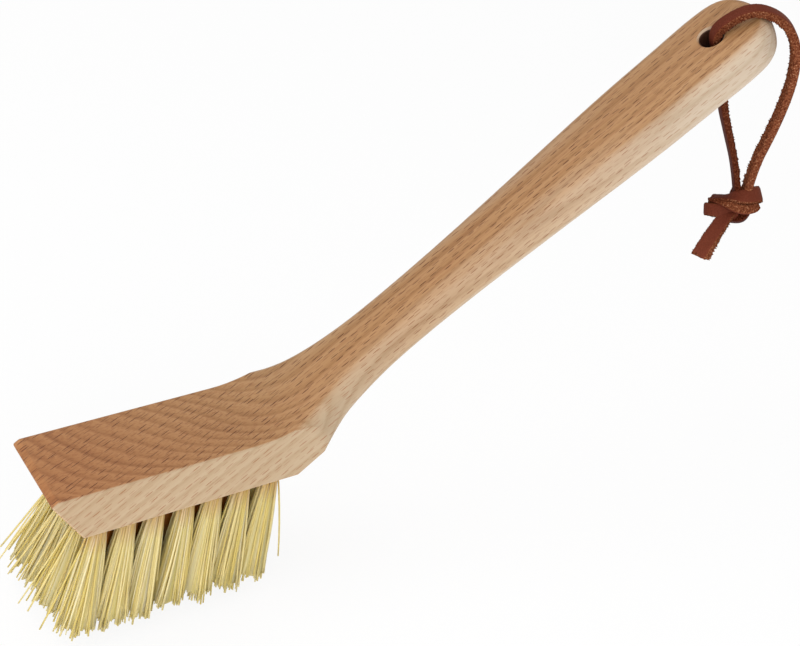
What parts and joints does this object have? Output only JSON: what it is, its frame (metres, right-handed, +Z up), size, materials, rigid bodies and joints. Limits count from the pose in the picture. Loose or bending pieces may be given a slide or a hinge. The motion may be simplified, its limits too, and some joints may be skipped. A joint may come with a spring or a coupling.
{
  "type": "dish brush",
  "caption": "Wooden dish brush: flat head and angled, waisted handle in one piece, drilled for rows of stiff fibre tufts, with a knotted leather hanging lace that swivels in its hole.",
  "frame": {"origin": "the middle of the hand's grip, half way through the handle's thickness", "axes": "+X level along the brush from the head towards the hanging end, +Z up and square to the head's flat top with the fibres pointing down, +Y across the brush; the handle climbs towards +X and +Z"},
  "size_m": [0.2617, 0.0412, 0.1587],
  "materials": {
    "beech": "fine sanded, lightly oiled",
    "plant_fibre": "stiff pale plant fibre",
    "anchor_wire": "drawn wire",
    "lace_leather": "smooth grain face, rough cut edges"
  },
  "bodies": {
    "brush": {"handle": "beech", "tuft_1_1": "plant_fibre", "tuft_1_2": "plant_fibre", "tuft_1_3": "plant_fibre", "tuft_1_4": "plant_fibre", "tuft_1_5": "plant_fibre", "tuft_1_6": "plant_fibre", "tuft_1_7": "plant_fibre", "tuft_2_1": "plant_fibre", "tuft_2_2": "plant_fibre", "tuft_2_3": "plant_fibre", "tuft_2_4": "plant_fibre", "tuft_2_5": "plant_fibre", "tuft_2_6": "plant_fibre", "tuft_2_7": "plant_fibre", "tuft_3_1": "plant_fibre", "tuft_3_2": "plant_fibre", "tuft_3_3": "plant_fibre", "tuft_3_4": "plant_fibre", "tuft_3_5": "plant_fibre", "tuft_3_6": "plant_fibre", "tuft_3_7": "plant_fibre", "tuft_4_1": "plant_fibre", "tuft_4_2": "plant_fibre", "tuft_4_3": "plant_fibre", "tuft_4_4": "plant_fibre", "tuft_4_5": "plant_fibre", "tuft_4_6": "plant_fibre", "tuft_4_7": "plant_fibre", "anchors_row_1": "anchor_wire", "anchors_row_2": "anchor_wire", "anchors_row_3": "anchor_wire", "anchors_row_4": "anchor_wire"},
    "loop": {"lace_loop": "lace_leather", "lace_knot": "lace_leather", "lace_tail_front": "lace_leather", "lace_tail_back": "lace_leather"}
  },
  "joints": [
    {"name": "loop_swivel", "type": "hinge", "parent": "brush", "child": "loop", "pos_m": [0.0611, 0, 0.03922], "axis": [-0.5344, 0, 0.8453], "range_deg": [-95, 145]}
  ]
}
